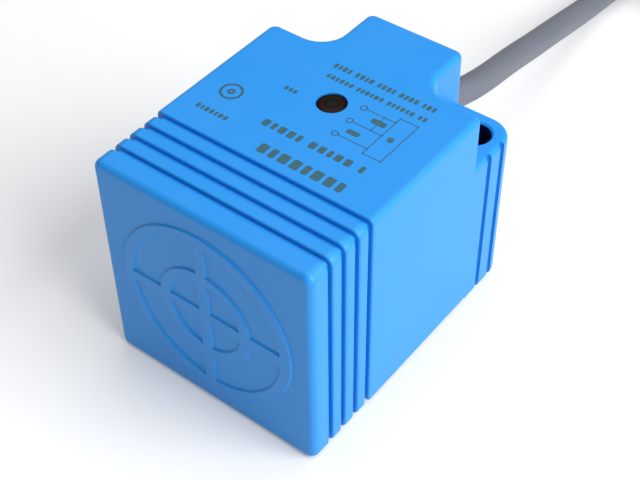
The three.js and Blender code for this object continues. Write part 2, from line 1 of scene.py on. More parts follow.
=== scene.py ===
import math

import bmesh
import bpy
from mathutils import Matrix, Vector


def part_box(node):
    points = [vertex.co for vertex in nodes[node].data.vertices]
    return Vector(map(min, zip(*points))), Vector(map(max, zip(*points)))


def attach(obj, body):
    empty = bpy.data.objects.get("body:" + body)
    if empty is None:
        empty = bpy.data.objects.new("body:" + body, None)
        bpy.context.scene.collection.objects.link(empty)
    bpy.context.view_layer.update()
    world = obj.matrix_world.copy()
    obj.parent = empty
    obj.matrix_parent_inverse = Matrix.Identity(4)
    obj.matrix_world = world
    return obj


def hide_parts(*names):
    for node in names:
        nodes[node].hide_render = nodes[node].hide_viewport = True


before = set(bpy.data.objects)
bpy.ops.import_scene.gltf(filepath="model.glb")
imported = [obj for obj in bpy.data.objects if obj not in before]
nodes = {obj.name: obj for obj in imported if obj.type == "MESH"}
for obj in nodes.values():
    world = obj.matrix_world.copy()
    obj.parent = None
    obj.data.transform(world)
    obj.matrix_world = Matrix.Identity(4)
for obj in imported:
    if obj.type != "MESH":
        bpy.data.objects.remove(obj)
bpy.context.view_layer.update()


# ======================================================================== housing shell
# One injection moulding in blue PBT, open at the sensing end. Three ribs run round it, two ears
# with screw holes stand at the rear, and the cable boss rises between them. It closes with the
# sensing face cap, pressed in at the front and held by the resin.
mm = 0.001
shell_low, shell_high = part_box("housing_shell")
cap_low, cap_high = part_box("sensing_face_cap")
half = shell_high.x
top_z = shell_high.z
mid_z = top_z / 2
rear_y = shell_high.y
groove_width, groove_depth, groove_pitch = 0.95 * mm, 0.8 * mm, 3.07 * mm
groove_ys = [-22.35 * mm + i * groove_pitch for i in range(4)]
rib_corner, rib_round = 1.6 * mm, 0.35 * mm
edge_round = 1.0 * mm
body_front = groove_ys[3] + groove_width / 2
shoulder_y = 15.2 * mm
ear_top, ear_corner = 30 * mm, 4.5 * mm
boss_half, boss_fillet = 9.1 * mm, 4.5 * mm
screw_x, screw_y, screw_radius = 15 * mm, 21.7 * mm, 2.7 * mm
flute_ys, flute_width, flute_depth = (18.4 * mm, 22.1 * mm), 1.2 * mm, 1.0 * mm
relief, relief_end = 1.0 * mm, 15.2 * mm
cavity_half, cavity_end, floor_z, seat_end = 17.6 * mm, 12 * mm, 3.4 * mm, -19 * mm
cable_hole = 4.3 * mm
gap = 0.3 * mm
window_y, window_hole = 4.3 * mm, 2.44 * mm


def arc(x, y, radius, start, end, steps=10):
    turn = [math.radians(start + (end - start) * i / steps) for i in range(steps + 1)]
    return [(x + radius * math.cos(a), y + radius * math.sin(a)) for a in turn]


def round_square(half_side, corner, steps=10):
    c = half_side - corner
    return (
        arc(c, -c, corner, -90, 0, steps)
        + arc(c, c, corner, 0, 90, steps)
        + arc(-c, c, corner, 90, 180, steps)
        + arc(-c, -c, corner, 180, 270, steps)
    )


def drawn_in(outline, distance):
    """The same outline, counter-clockwise, moved inwards by a distance."""
    moved = []
    for i, here in enumerate(outline):
        a, b, c = Vector(outline[i - 1]), Vector(here), Vector(outline[(i + 1) % len(outline)])
        before, after = (b - a).normalized(), (c - b).normalized()
        n1, n2 = Vector((-before.y, before.x)), Vector((-after.y, after.x))
        moved.append(tuple(b + (n1 + n2) * (distance / (1 + n1.dot(n2)))))
    return moved


def rounded(low, high, low_round, high_round, steps=5):
    """Levels of (height, inset) for a solid with rounded ends."""
    quarter = [math.pi / 2 * i / steps for i in range(steps + 1)]
    levels = [(low, 0.0)]
    if low_round:
        levels = [
            (low + low_round * (1 - math.sin(a)), low_round * (1 - math.cos(a)))
            for a in quarter[::-1]
        ]
    if not high_round:
        return levels + [(high, 0.0)]
    return levels + [
        (high - high_round * (1 - math.sin(a)), high_round * (1 - math.cos(a))) for a in quarter
    ]


def upright(u, v, height):
    return Vector((u, v, height))


def lengthwise(u, v, height):
    return Vector((u, -height, v + mid_z))


def mesh_object(name, verts, faces):
    mesh = bpy.data.meshes.new(name)
    mesh.from_pydata([tuple(v) for v in verts], [], faces)
    shape = bmesh.new()
    shape.from_mesh(mesh)
    bmesh.ops.remove_doubles(shape, verts=shape.verts, dist=1e-7)
    bmesh.ops.recalc_face_normals(shape, faces=shape.faces)
    shape.to_mesh(mesh)
    shape.free()
    piece = bpy.data.objects.new(name, mesh)
    bpy.context.scene.collection.objects.link(piece)
    return piece


def stack(name, outline, levels, place=upright):
    """A closed solid: one outline repeated at each (height, inset) level."""
    verts = [place(u, v, height) for height, inset in levels for u, v in drawn_in(outline, inset)]
    n = len(outline)
    faces = [tuple(range(n)), tuple(range((len(levels) - 1) * n, len(levels) * n))]
    for k in range(len(levels) - 1):
        for i in range(n):
            j = (i + 1) % n
            faces.append((k * n + i, k * n + j, (k + 1) * n + j, (k + 1) * n + i))
    return mesh_object(name, verts, faces)


def along(low, high):
    """Y limits as heights for solids placed lengthwise, whose heights run towards -Y."""
    return -high, -low


def brick(name, low, high):
    outline = [(low[0], low[1]), (high[0], low[1]), (high[0], high[1]), (low[0], high[1])]
    return stack(name, outline, [(low[2], 0.0), (high[2], 0.0)])


def disc(radius, steps=48):
    return arc(0, 0, radius, 0, 360 - 360 / steps, steps - 1)


def moved_outline(outline, x, y):
    return [(u + x, v + y) for u, v in outline]


def machined(piece, joins=(), cuts=(), keeps=()):
    """Joins, cuts and keeps other solids on a piece, then removes them."""
    steps = [("UNION", tool) for tool in joins]
    steps += [("INTERSECT", tool) for tool in keeps]
    steps += [("DIFFERENCE", tool) for tool in cuts]
    for operation, tool in steps:
        modifier = piece.modifiers.new(operation, "BOOLEAN")
        modifier.operation = operation
        modifier.object = tool
        modifier.solver = "MANIFOLD"
    graph = bpy.context.evaluated_depsgraph_get()
    mesh = bpy.data.meshes.new_from_object(piece.evaluated_get(graph))
    piece.modifiers.clear()
    piece.data = mesh
    for _, tool in steps:
        bpy.data.objects.remove(tool)
    return piece


def smooth(piece, angle=35):
    piece.data.shade_smooth()
    piece.data.set_sharp_from_angle(angle=math.radians(angle))
    weighted = piece.modifiers.new("even_shading", "WEIGHTED_NORMAL")
    weighted.keep_sharp = True
    weighted.weight = 50
    return piece


def lower_outline():
    c = half - ear_corner
    back = rear_y - ear_corner
    front = body_front - 4 * mm
    return (
        [(-half, front), (half, front)]
        + arc(c, back, ear_corner, 0, 90)
        + arc(-c, back, ear_corner, 90, 180)
    )


def upper_outline():
    shoulder, tip = 1.5 * mm, 1.4 * mm
    fillet_x, fillet_y = boss_half + boss_fillet, shoulder_y + boss_fillet
    front = body_front - 4 * mm
    right = (
        arc(half - shoulder, shoulder_y - shoulder, shoulder, 0, 90, 6)
        + arc(fillet_x, fillet_y, boss_fillet, 270, 180)
        + arc(boss_half - tip, rear_y - tip, tip, 0, 90, 6)
    )
    left = [(-x, y) for x, y in reversed(right)]
    return [(-half, front), (half, front)] + right + left


def housing():
    block = stack("housing", lower_outline(), rounded(0, ear_top, edge_round, edge_round))
    upper = stack("upper", upper_outline(), rounded(ear_top - 4 * mm, top_z, edge_round, edge_round))
    envelope = stack(
        "envelope",
        round_square(half, edge_round * 1.02, 6),
        rounded(*along(body_front, rear_y + 5 * mm), 0, rib_round),
        lengthwise,
    )
    machined(block, joins=[upper], keeps=[envelope])
    core = stack(
        "core",
        round_square(half - groove_depth, rib_corner - groove_depth, 8),
        rounded(*along(shell_low.y, body_front + 2 * mm), 0, 0),
        lengthwise,
    )
    ribs = []
    for before, after in zip(groove_ys, groove_ys[1:]):
        span = along(before + groove_width / 2, after - groove_width / 2)
        levels = rounded(*span, rib_round, rib_round)
        ribs.append(stack("rib", round_square(half, rib_corner), levels, lengthwise))
    inside = cavity_half
    hollows = [
        brick("seat", (-inside, shell_low.y - mm, mid_z - inside), (inside, seat_end, mid_z + inside)),
        brick("cavity", (-inside, seat_end - mm, floor_z), (inside, cavity_end, mid_z + inside)),
        brick("relief", (-half - mm, body_front, -mm), (half + mm, relief_end, relief)),
        stack(
            "cable_hole",
            disc(cable_hole),
            [(-rear_y - mm, 0.0), (-cavity_end + mm, 0.0)],
            lengthwise,
        ),
        stack(
            "window_hole",
            moved_outline(disc(window_hole), 0, window_y),
            [(top_z - 5 * mm, 0.0), (top_z + mm, 0.0)],
        ),
    ]
    rim = 0.35 * mm
    chamfered = [(0.0, 0.0), (rim, rim), (ear_top - rim, rim), (ear_top, 0.0)]
    through = [(-mm, 0.0), (ear_top + mm, 0.0)]
    for side in (-1, 1):
        bore = moved_outline(disc(screw_radius + rim), side * screw_x, screw_y)
        hollows.append(stack("bore", bore, [through[0], *chamfered, through[1]]))
        for y in flute_ys:
            flute = [(u * flute_depth / (flute_width / 2), v) for u, v in disc(flute_width / 2, 20)]
            hollows.append(stack("flute", moved_outline(flute, side * half, y), through))
    cover_low, cover_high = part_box("base_cover")
    cover_ledge, seat_depth = 1.2 * mm, 1.4 * mm
    for name, inset, low, high in (
        ("cover_seat", -gap, -mm, relief + seat_depth),
        ("cover_hole", cover_ledge - gap, relief, floor_z + mm),
    ):
        corner = (cover_low.x + inset, cover_low.y + inset, low)
        hollows.append(brick(name, corner, (cover_high.x - inset, cover_high.y - inset, high)))
    return smooth(machined(block, joins=[core, *ribs], cuts=hollows))


class Socket:
    """A node's output that takes part in sums and products."""

    def __init__(self, finish, output):
        self.finish = finish
        self.output = output

    def _with(self, operation, *values):
        return self.finish.node("ShaderNodeMath", {"operation": operation}, dict(enumerate(values)))

    def __add__(self, other):
        return self._with("ADD", self, other)

    def __sub__(self, other):
        return self._with("SUBTRACT", self, other)

    def __rsub__(self, other):
        return self._with("SUBTRACT", other, self)

    def __mul__(self, other):
        return self._with("MULTIPLY", self, other)

    def __gt__(self, other):
        return self._with("GREATER_THAN", self, other)

    def __abs__(self):
        return self._with("ABSOLUTE", self)

    __radd__ = __add__
    __rmul__ = __mul__


class Finish:
    """One material: a Principled shader with uniform values, and what varies fed in by feed()."""

    def __init__(self, name, color, roughness, metallic=0.0, **uniform):
        self.material = bpy.data.materials.new(name)
        self.material.use_nodes = True
        self.tree = self.material.node_tree
        self.shader = self.tree.nodes["Principled BSDF"]
        self.color = (*color, 1.0)
        self.roughness = roughness
        values = {"Base Color": self.color, "Roughness": roughness, "Metallic": metallic}
        values.update({name.replace("_", " "): value for name, value in uniform.items()})
        for name, value in values.items():
            self.shader.inputs[name].default_value = value

    def node(self, kind, settings, values, output=0):
        made = self.tree.nodes.new(kind)
        for key, value in settings.items():
            if key == "stops":
                ramp = made.color_ramp.elements
                while len(ramp) < len(value):
                    ramp.new(0.5)
                for element, (place, color) in zip(ramp, value):
                    element.position = place
                    element.color = color
            else:
                setattr(made, key, value)
        for key, value in values.items():
            if isinstance(value, Socket):
                self.tree.links.new(value.output, made.inputs[key])
            else:
                made.inputs[key].default_value = value
        return Socket(self, made.outputs[output])

    def place(self):
        return self.node("ShaderNodeTexCoord", {}, {}, "Object")

    def axes(self):
        parts = self.tree.nodes.new("ShaderNodeSeparateXYZ")
        self.tree.links.new(self.place().output, parts.inputs[0])
        return [Socket(self, parts.outputs[i]) for i in range(3)]

    def noise(self, size, detail=3.0, rough=0.5):
        values = {"Vector": self.place(), "Scale": 1 / size, "Detail": detail, "Roughness": rough}
        return self.node("ShaderNodeTexNoise", {}, values)

    def blend(self, factor, first, second):
        settings = {"data_type": "RGBA"}
        values = {0: factor, 6: first, 7: second}
        return self.node("ShaderNodeMix", settings, values, 2)

    def tint(self, factor, second, first=None):
        return self.blend(factor, self.color if first is None else first, (*second, 1.0))

    def feed(self, **links):
        for name, value in links.items():
            self.tree.links.new(value.output, self.shader.inputs[name.replace("_", " ")])
        return self

    def bumps(self, height, strength, depth):
        values = {"Height": height, "Strength": strength, "Distance": depth}
        return self.feed(Normal=self.node("ShaderNodeBump", {}, values))

    def on(self, *pieces):
        for piece in pieces:
            piece.data.materials.clear()
            piece.data.materials.append(self.material)
        return self


def moulded(name, color, roughness=0.42, grain=0.22 * mm, depth=0.012 * mm, paler=0.03, **uniform):
    """Spark-textured plastic: a fine pebbled skin, with faint flow marks and uneven gloss."""
    finish = Finish(name, color, roughness, **uniform)
    skin = finish.noise(grain, 2.0, 0.6) + finish.noise(grain * 0.35, 1.0) * 0.5
    flow = finish.noise(14 * mm, 2.0, 0.55)
    lighter = [c + (1 - c) * paler for c in color]
    finish.base = finish.tint(flow * 0.5, lighter)
    finish.feed(Base_Color=finish.base, Roughness=flow * 0.12 + (roughness - 0.06))
    return finish.bumps(skin, 0.35, depth)


def painted_bore_shade(finish, *axes, radius, color):
    """Paints shade into a finish in upright bores at (x, y) places: their walls are coloured dark to
    stand in for the shade deep inside the screw holes.
    """
    x, y, _ = finish.axes()
    inside = 0.0
    for at_x, at_y in axes:
        dx, dy = x - at_x, y - at_y
        # mask of painted shade: one inside each bore's radius, where the walls are coloured dark
        inside = inside + (radius * radius - (dx * dx + dy * dy) > 0)
    finish.feed(Base_Color=finish.blend(inside, finish.base, (*color, 1.0)))
    return finish


moulding_blue = (0.006, 0.236, 0.67)
blue_plastic = moulded("blue_plastic", moulding_blue, 0.40, Specular_IOR_Level=0.35)
bores = [(side * screw_x, screw_y) for side in (-1, 1)]
# painted shade in the two screw bores: a near black blue stands in for the shade inside them
painted_bore_shade(blue_plastic, *bores, radius=screw_radius + 0.05 * mm, color=(0.001, 0.012, 0.045))
shell = housing()
blue_plastic.on(shell)
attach(shell, "root")
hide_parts("housing_shell")


# ======================================================================== sensing face cap
# The same blue PBT, moulded as a cap that closes the sensing end. Its seam hides in the first
# groove. A target of two rings and a cross stands 0.3 mm proud of the face.
cap_round = 1.2 * mm
mark_height = 0.3 * mm
cap_face = cap_low.y + mark_height
mark_rings = ((16.2 * mm, 14.2 * mm), (8.7 * mm, 6.7 * mm))
mark_bar = 1.0 * mm
mark_slope = 0.16 * mm
spigot_wall, spigot_corner = 1 * mm, 0.8 * mm
pocket_end = -24.7 * mm


def turned(name, profile, place, steps=96):
    """A closed profile of (radius, height) turned about an axis that place() sets."""
    n = len(profile)
    verts, faces = [], []
    for i in range(steps):
        a = 2 * math.pi * i / steps
        verts += [place(r * math.cos(a), r * math.sin(a), h) for r, h in profile]
        j = (i + 1) % steps
        for k in range(n):
            m = (k + 1) % n
            faces.append((i * n + k, i * n + m, j * n + m, j * n + k))
    piece = mesh_object(name, verts, faces)
    shape = bmesh.new()
    shape.from_mesh(piece.data)
    bmesh.ops.dissolve_degenerate(shape, edges=shape.edges, dist=1e-8)
    bmesh.ops.recalc_face_normals(shape, faces=shape.faces)
    shape.to_mesh(piece.data)
    shape.free()
    return piece


def face_cap():
    outline = round_square(half, rib_corner)
    back = -(groove_ys[0] - groove_width / 2)
    cap = stack("face_cap", outline, rounded(back, -cap_face, rib_round, cap_round, 8), lengthwise)
    spigot = stack(
        "spigot",
        round_square(cavity_half - gap, spigot_corner, 4),
        [(-cap_high.y, 0.0), (back + mm, 0.0)],
        lengthwise,
    )
    inside = cavity_half - gap - spigot_wall
    pocket = brick(
        "pocket",
        (-inside, pocket_end, mid_z - inside),
        (inside, cap_high.y + mm, mid_z + inside),
    )
    high, root = -cap_low.y, -cap_face - 0.5 * mm
    soft = 0.1 * mm
    marks = [
        turned(
            "ring",
            [
                (outer + mark_slope, root),
                (outer + mark_slope * 0.9, high - mark_height),
                (outer - mark_slope * 0.2, high - soft),
                (outer - mark_slope * 0.7, high),
                (inner + mark_slope * 0.7, high),
                (inner + mark_slope * 0.2, high - soft),
                (inner - mark_slope * 0.9, high - mark_height),
                (inner - mark_slope, root),
            ],
            lengthwise,
            144,
        )
        for outer, inner in mark_rings
    ]
    reach = mark_rings[0][0] - 0.3 * mm
    for long_x, long_z, lower in ((mark_bar, reach, 0.011 * mm), (reach, mark_bar, 0.017 * mm)):
        bar = [(-long_x, -long_z), (long_x, -long_z), (long_x, long_z), (-long_x, long_z)]
        levels = [
            (root, -mark_slope),
            (high - mark_height, -mark_slope * 0.9),
            (high - soft, mark_slope * 0.2),
            (high - lower, mark_slope * 0.7),
        ]
        marks.append(stack("bar", bar, levels, lengthwise))
    return smooth(machined(cap, joins=[spigot, *marks], cuts=[pocket]), 28)


cap = face_cap()
moulded("face_plastic", moulding_blue, 0.42, Specular_IOR_Level=0.35).on(cap)
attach(cap, "root")
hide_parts("sensing_face_cap")


# ======================================================================== base cover
# A stepped blue plate that closes the opening the resin is poured through. It sits flush with
# the recessed underside and is held by the resin.
def softened(piece, width, segments=2, angle=40):
    """Rounds a node's sharp edges without touching its mesh."""
    bevel = piece.modifiers.new("edge_round", "BEVEL")
    bevel.width = width
    bevel.segments = segments
    bevel.limit_method = "ANGLE"
    bevel.angle_limit = math.radians(angle)
    bevel.harden_normals = False
    return piece


base_cover = softened(nodes["base_cover"], 0.15 * mm)
moulded("cover_plastic", moulding_blue, 0.45, Specular_IOR_Level=0.35).on(base_cover)


# ======================================================================== indicator window
# A round light pipe of smoked red acrylic, flanged from inside and flush with the top face. It
# carries the light of the output LED.
window_low, window_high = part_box("indicator_window")
window_radius = 2.38 * mm
flange_radius, flange_top = window_high.x, window_low.z + 1.1 * mm
dome_top, dome_rise = top_z - 0.02 * mm, 0.25 * mm


def window_pipe():
    dome = [
        (window_radius * math.sin(a), dome_top - dome_rise * (1 - math.cos(a)))
        for a in [math.pi / 2 * i / 10 for i in range(11)]
    ]
    profile = [(0.0, dome_top)] + dome[1:]
    profile += [(window_radius, flange_top), (flange_radius, flange_top)]
    profile += [(flange_radius, window_low.z), (0.0, window_low.z)]
    return smooth(turned("window_pipe", profile, lambda u, v, h: Vector((u, v + window_y, h)), 64))


window = window_pipe()
smoked = Finish("smoked_acrylic", (0.004, 0.003, 0.003), 0.3, IOR=1.4, Specular_IOR_Level=0.15)
across, lengthways, _ = smoked.axes()
lengthways = lengthways - window_y
off_axis = smoked.node(
    "ShaderNodeMath", {"operation": "SQRT"}, {0: across * across + lengthways * lengthways}
)
olive, clear = (0.009, 0.013, 0.006, 1.0), (0.004, 0.003, 0.003, 1.0)
red, black = (0.022, 0.003, 0.002, 1.0), (0.002, 0.002, 0.002, 1.0)
glow = smoked.node(
    "ShaderNodeValToRGB",
    {"stops": [(0.0, olive), (0.45, clear), (0.66, red), (0.85, black)]},
    {0: off_axis * (1 / window_radius)},
)
smoked.feed(Base_Color=glow, Roughness=smoked.noise(0.5 * mm) * 0.12 + 0.24).on(window)
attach(window, "root")
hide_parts("indicator_window")


# ======================================================================== printed marks
# Pad-printed dark green ink, a few hundredths of a millimetre thick, on the top face: rows of
# plain bars and a connection diagram with a ring for each lead.
ink_high, ink_low = top_z + 0.02 * mm, top_z - 0.02 * mm


def printed(name, outlines):
    """Flat closed slabs of ink, one for each outline, joined into one piece."""
    verts, faces = [], []
    for outline in outlines:
        start, n = len(verts), len(outline)
        verts += [(x * mm, y * mm, z) for z in (ink_low, ink_high) for x, y in outline]
        faces += [tuple(range(start, start + n)), tuple(range(start + n, start + 2 * n))]
        for i in range(n):
            j = (i + 1) % n
            faces.append((start + i, start + j, start + n + j, start + n + i))
    return mesh_object(name, verts, faces)


def ink_bar(x0, y0, x1, y1):
    """A bar with rounded corners, in millimetres."""
    corner = min(0.3, abs(x1 - x0) / 2.5, abs(y1 - y0) / 2.5)
    cx, cy = (x0 + x1) / 2, (y0 + y1) / 2
    w, h = abs(x1 - x0) / 2 - corner, abs(y1 - y0) / 2 - corner
    places = ((w, h, 0), (-w, h, 90), (-w, -h, 180), (w, -h, 270))
    return [p for x, y, a in places for p in arc(cx + x, cy + y, corner, a, a + 90, 4)]


def ink_row(x0, x1, y, height, widths, gap, group):
    """A row of bars from x0 to x1 whose widths repeat, with a wider gap after each group."""
    bars, x, k = [], x0, 0
    while x < x1 - widths[k % len(widths)] / 2:
        wide = min(widths[k % len(widths)], x1 - x)
        bars.append(ink_bar(x, y - height / 2, x + wide, y + height / 2))
        k += 1
        x += wide + (gap if k % group else 3 * gap)
    return bars


def ink_line(x0, y0, x1, y1, thick=0.16):
    way = Vector((x1 - x0, y1 - y0)).normalized() * thick / 2
    side = Vector((-way.y, way.x))
    a, b = Vector((x0, y0)) - way, Vector((x1, y1)) + way
    return [tuple(a + side), tuple(a - side), tuple(b - side), tuple(b + side)]


def ink_ring(x, y, radius, thick, steps=32):
    """Two half rings, so that each outline stays simple."""
    halves = []
    for start in (0, 180):
        outer = arc(x, y, radius + thick / 2, start, start + 180, steps // 2)
        inner = arc(x, y, radius - thick / 2, start + 180, start, steps // 2)
        halves.append(outer + inner)
    return halves


def connection_diagram():
    """The sensor as a box, its three leads with a ring each, and two loads between them."""
    box_left, box_right, box_low, box_high = 10.4, 13.6, -2.2, 7.4
    upper, middle, lower = box_high - 1.2, 2.6, box_low + 1.2
    ring_x, ring_radius = 4.6, 0.5
    load_x, load_low, load_high = 8.4, 4.1, 5.2
    shapes = [
        ink_line(box_left, box_high, box_right, box_high),
        ink_line(box_right, box_high, box_right, box_low),
        ink_line(box_right, box_low, box_left, box_low),
        ink_line(box_left, box_low, box_left, box_high),
        ink_bar(load_x - 1.3, load_low, load_x + 1.3, load_high),
        ink_line(load_x, middle, load_x, load_low),
        ink_line(load_x, load_high, load_x, upper),
        ink_bar(load_x - 2.8, 0.1, load_x - 0.6, 1.1),
        ink_bar(box_right - 2.1, 2.0, box_right - 1.1, 3.1),
    ]
    for y in (upper, middle, lower):
        shapes.append(ink_line(ring_x + 0.6, y, box_left, y))
        shapes += ink_ring(ring_x, y, ring_radius, 0.2, 20)
    return shapes


marks = printed(
    "printed_marks",
    ink_row(-5.2, 13.9, 12.0, 1.15, (0.62, 0.45, 0.7, 0.5, 0.62), 0.3, 4)
    + ink_row(-4.6, 13.7, 9.3, 1.0, (0.5, 0.65, 0.45, 0.7, 0.55, 0.6, 0.5), 0.28, 6)
    + ink_row(-5.5, 13.9, -5.1, 1.5, (1.15, 0.8, 1.2), 0.5, 5)
    + ink_row(-2.4, 13.0, -9.9, 2.0, (1.5, 1.1, 1.6), 0.6, 20)
    + ink_row(-8.0, -5.7, 3.1, 0.9, (0.6,), 0.25, 9)
    + ink_row(-16.0, -10.0, -8.0, 1.0, (0.6, 0.45, 0.7), 0.3, 20)
    + ink_ring(-13.8, -2.6, 1.7, 0.42)
    + ink_ring(-13.8, -2.6, 0.45, 0.42, 20)
    + connection_diagram(),
)
ink = Finish("dark_green_ink", (0.018, 0.075, 0.085), 0.5)
worn = ink.noise(0.35 * mm, 3.0, 0.7)
ink.feed(
    Base_Color=ink.tint(worn * worn, (0.03, 0.14, 0.24)),
    Roughness=worn * 0.3 + 0.35,
).bumps(worn, 0.2, 0.01 * mm).on(marks)
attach(marks, "root")


# ======================================================================== sensing coil and ferrite core
# A pot core of grey manganese-zinc ferrite opens towards the face. Enamelled copper is wound on
# its nylon bobbin, and a brass ring round the core keeps the field to the front.
def sooted(name, color, roughness, specks, size, metallic=0.0, depth=0.01 * mm, **uniform):
    """A sintered, drawn or cast finish: its colour broken by specks, its skin by fine bumps."""
    finish = Finish(name, color, roughness, metallic, **uniform)
    speck = finish.noise(size, 4.0, 0.65)
    finish.feed(Base_Color=finish.tint(speck * 0.7, specks), Roughness=speck * 0.2 + (roughness - 0.1))
    return finish.bumps(finish.noise(size * 0.5, 2.0), 0.4, depth)


def striped(finish, pitch, color, axis, strength=0.6):
    """Bands across an axis at a fixed pitch, as wound wire or drawn metal shows."""
    position = finish.axes()[axis]
    wave = finish.node("ShaderNodeMath", {"operation": "SINE"}, {0: position * (2 * math.pi / pitch)})
    groove = wave * 0.5 + 0.5
    finish.feed(Base_Color=finish.tint(groove * strength, color))
    return finish.bumps(groove, 0.5, 0.03 * mm)


sooted("mnzn_ferrite", (0.035, 0.036, 0.038), 0.55, (0.07, 0.07, 0.072), 0.25 * mm).on(
    softened(nodes["ferrite_pot_core"], 0.25 * mm)
)
natural_nylon = moulded("natural_nylon", (0.62, 0.60, 0.52), 0.45)
natural_nylon.on(softened(nodes["coil_bobbin"], 0.12 * mm))
copper = Finish("enamelled_copper", (0.42, 0.13, 0.035), 0.3, 0.9)
striped(copper, 0.25 * mm, (0.20, 0.05, 0.015), 1).on(
    nodes["coil_winding"], nodes["coil_lead_start"], nodes["coil_lead_end"]
)
brass = Finish("brass_strip", (0.58, 0.42, 0.16), 0.32, 1.0)
striped(brass, 0.12 * mm, (0.48, 0.33, 0.11), 2, 0.35).on(softened(nodes["shield_ring"], 0.08 * mm))


# ======================================================================== core carrier
# A black glass-filled nylon frame that holds the pot core against the face and carries the
# circuit board on two rails.
glass_nylon = moulded("glass_filled_nylon", (0.014, 0.014, 0.015), 0.5, 0.5 * mm, 0.02 * mm)
glass_nylon.on(softened(nodes["core_carrier"], 0.2 * mm))


# ======================================================================== circuit board
# Glass-epoxy laminate, 1.6 mm thick, with green solder mask over copper tracks that show
# slightly paler. Its cut edges are bare and yellowish.
board_low, board_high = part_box("circuit_board")
mask_green = Finish("solder_mask", (0.008, 0.10, 0.035), 0.3, Coat_Weight=0.3)
track_pitch, track_edge = 2.54 * mm, 0.93
board_x, board_y, board_z = mask_green.axes()
across_tracks = [
    abs(mask_green.node("ShaderNodeMath", {"operation": "SINE"}, {0: axis * (math.pi / track_pitch)}))
    for axis in (board_x, board_y)
]
patch = mask_green.noise(6 * mm, 1.0) > 0.5
tracks = (across_tracks[0] > track_edge) * patch + (across_tracks[1] > track_edge) * (1 - patch)
board_half = (board_high.z - board_low.z) / 2
cut_edge = abs(board_z - (board_low.z + board_high.z) / 2)
cut_edge = (cut_edge - board_half * 0.96) * -1 > 0
laminate = mask_green.blend(tracks * 0.8, mask_green.color, (0.02, 0.19, 0.06, 1.0))
laminate = mask_green.blend(cut_edge, laminate, (0.42, 0.36, 0.16, 1.0))
mask_green.feed(Base_Color=laminate, Roughness=mask_green.noise(3 * mm) * 0.15 + 0.25)
mask_green.bumps(tracks, 0.4, 0.03 * mm).on(softened(nodes["circuit_board"], 0.08 * mm))


# ======================================================================== components on the board
# Chips and diodes in black epoxy, a can capacitor, tan ceramic capacitors and four resistors, all
# soldered by the tinned ends.
def soldered(name, color, roughness, *pieces, axis=0, body_share=0.7, metallic=0.0):
    """Each piece's own finish, with tinned ends beyond a share of its length on one axis."""
    for piece in pieces:
        low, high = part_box(piece)
        finish = Finish(f"{name}_{piece}", color, roughness)
        centre = (low[axis] + high[axis]) / 2
        reach = (high[axis] - low[axis]) / 2 * body_share
        ends = abs(finish.axes()[axis] - centre) > reach
        skin = finish.noise(0.3 * mm, 3.0)
        tin = (0.62, 0.60, 0.57, 1.0)
        paler = [min(1.0, c * 1.5 + 0.01) for c in color]
        shade = finish.blend(ends, finish.tint(skin * 0.4, paler), tin)
        finish.feed(
            Base_Color=shade,
            Metallic=ends * (1 - metallic) + metallic,
            Roughness=ends * -0.15 + (skin * 0.15 + (roughness - 0.05)),
        )
        finish.bumps(skin, 0.3, 0.01 * mm).on(softened(nodes[piece], 0.08 * mm))


soldered("epoxy_black", (0.016, 0.016, 0.017), 0.5, "oscillator_ic", "output_transistor", body_share=0.8)
soldered("diode_black", (0.016, 0.016, 0.017), 0.45, "output_diode", "surge_diode", body_share=0.8)
soldered("resistor_black", (0.02, 0.02, 0.022), 0.4, *[f"resistor_{i}" for i in (1, 2, 3, 4)])
soldered("ceramic_tan", (0.42, 0.28, 0.15), 0.5, "tuning_capacitor", "output_filter_capacitor")
soldered("can", (0.66, 0.67, 0.68), 0.3, "supply_capacitor", body_share=1.1, metallic=1.0)


# ======================================================================== indicator LED
# A red 3 mm LED in diffused epoxy stands under the window on two tinned legs.
led_epoxy = Finish("diffused_red_epoxy", (0.45, 0.012, 0.008), 0.25, IOR=1.53)
led_epoxy.feed(
    Base_Color=led_epoxy.tint(led_epoxy.noise(0.8 * mm) * 0.5, (0.62, 0.03, 0.02)),
    Roughness=led_epoxy.noise(0.5 * mm) * 0.15 + 0.2,
).on(softened(nodes["indicator_led"], 0.1 * mm))
leg_tin = Finish("tinned_leg", (0.62, 0.60, 0.57), 0.3, 1.0)
leg_tin.feed(
    Base_Color=leg_tin.tint(leg_tin.noise(1 * mm), (0.5, 0.47, 0.44)),
    Roughness=leg_tin.noise(0.4 * mm) * 0.3 + 0.18,
).on(nodes["led_leg_anode"], nodes["led_leg_cathode"])


# ======================================================================== potting resin
# Dark two-part epoxy fills the case round the electronics and makes it one solid, sealed block.
sooted("potting_epoxy", (0.012, 0.012, 0.014), 0.28, (0.022, 0.021, 0.024), 3 * mm, Coat_Weight=0.2).on(
    nodes["resin_fill"]
)


# ======================================================================== cable
# Three-core control cable with a grey PVC jacket, 5 mm thick and 2 m long. It is potted into the
# boss, sags to the table and is put away in a tied hank, with its wires stripped at the end.
cable_radius = 2.5 * mm
bush_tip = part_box("cable_bush")[1].y
cable_run = [
    (0, 33, 20), (0.2, 37, 19.75), (0.6, 40.5, 19.15), (0.9, 44, 18.4), (0.8, 49.5, 17.1),
    (0.3, 55.4, 15.6), (-0.3, 62, 13.8), (-0.9, 69.6, 11.6), (-1.5, 77, 9.6), (-2.1, 84.7, 7.5),
    (-2.5, 92.5, 5.6), (-2.8, 100.2, 4.1), (-2.9, 105.5, 3.3), (-3, 111, 2.9), (-3.2, 115.5, 3.0),
    (-3.4, 119.4, 3.2), (-3.8, 126, 3.7), (-4, 130.5, 3.9),
]
hank_low, hank_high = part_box("cable_hank")
hank_x = (hank_low.x + hank_high.x) / 2
outer_turn = hank_high.x - hank_x - cable_radius
inner_turn = outer_turn - 2 * cable_radius
hank_y = hank_low.y + outer_turn + cable_radius
hank_straight = hank_high.y - hank_low.y - 2 * (outer_turn + cable_radius)
tail_end = 10 * mm
